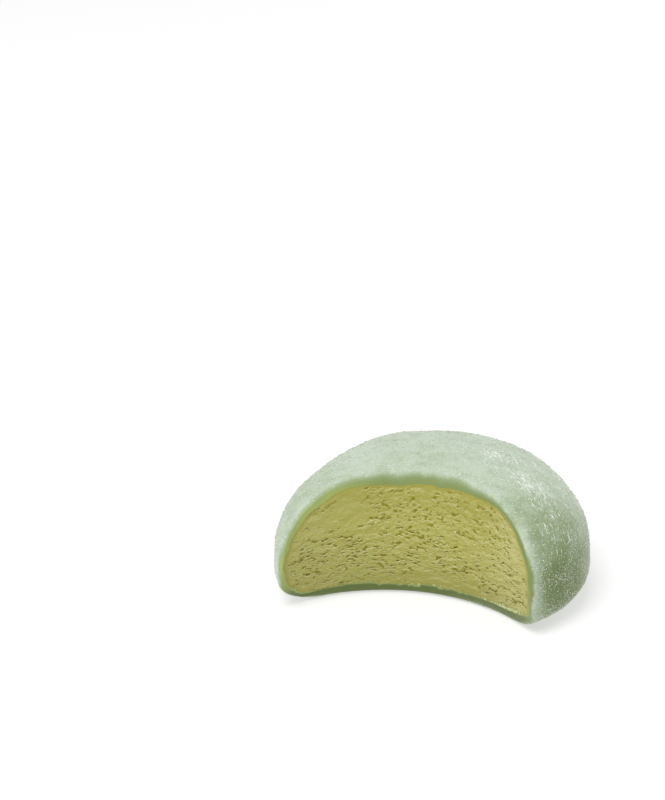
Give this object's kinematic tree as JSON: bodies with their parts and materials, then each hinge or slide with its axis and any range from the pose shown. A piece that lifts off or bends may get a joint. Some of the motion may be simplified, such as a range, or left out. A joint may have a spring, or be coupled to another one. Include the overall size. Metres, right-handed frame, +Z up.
{
  "type": "mochi rice cake",
  "caption": "Flat-bottomed bun of soft pale green rice dough with a green tea ice cream filling, one wide curved bite taken out of its front.",
  "frame": {"origin": "centre of the bounding box in plan, on the surface that the bun stands on", "axes": "+X across the bite, to the right of somebody who faces it; +Y from the bite toward the back of the bun; +Z up"},
  "size_m": [0.0478, 0.0424, 0.0206],
  "materials": {
    "rice_dough": "soft matte pale green rice dough dusted with white starch",
    "green_tea_ice_cream": "matte yellow-green ice cream with a torn, pitted face"
  },
  "bodies": {
    "root": {"mochi_skin": "rice_dough", "ice_cream_filling": "green_tea_ice_cream"}
  },
  "joints": []
}
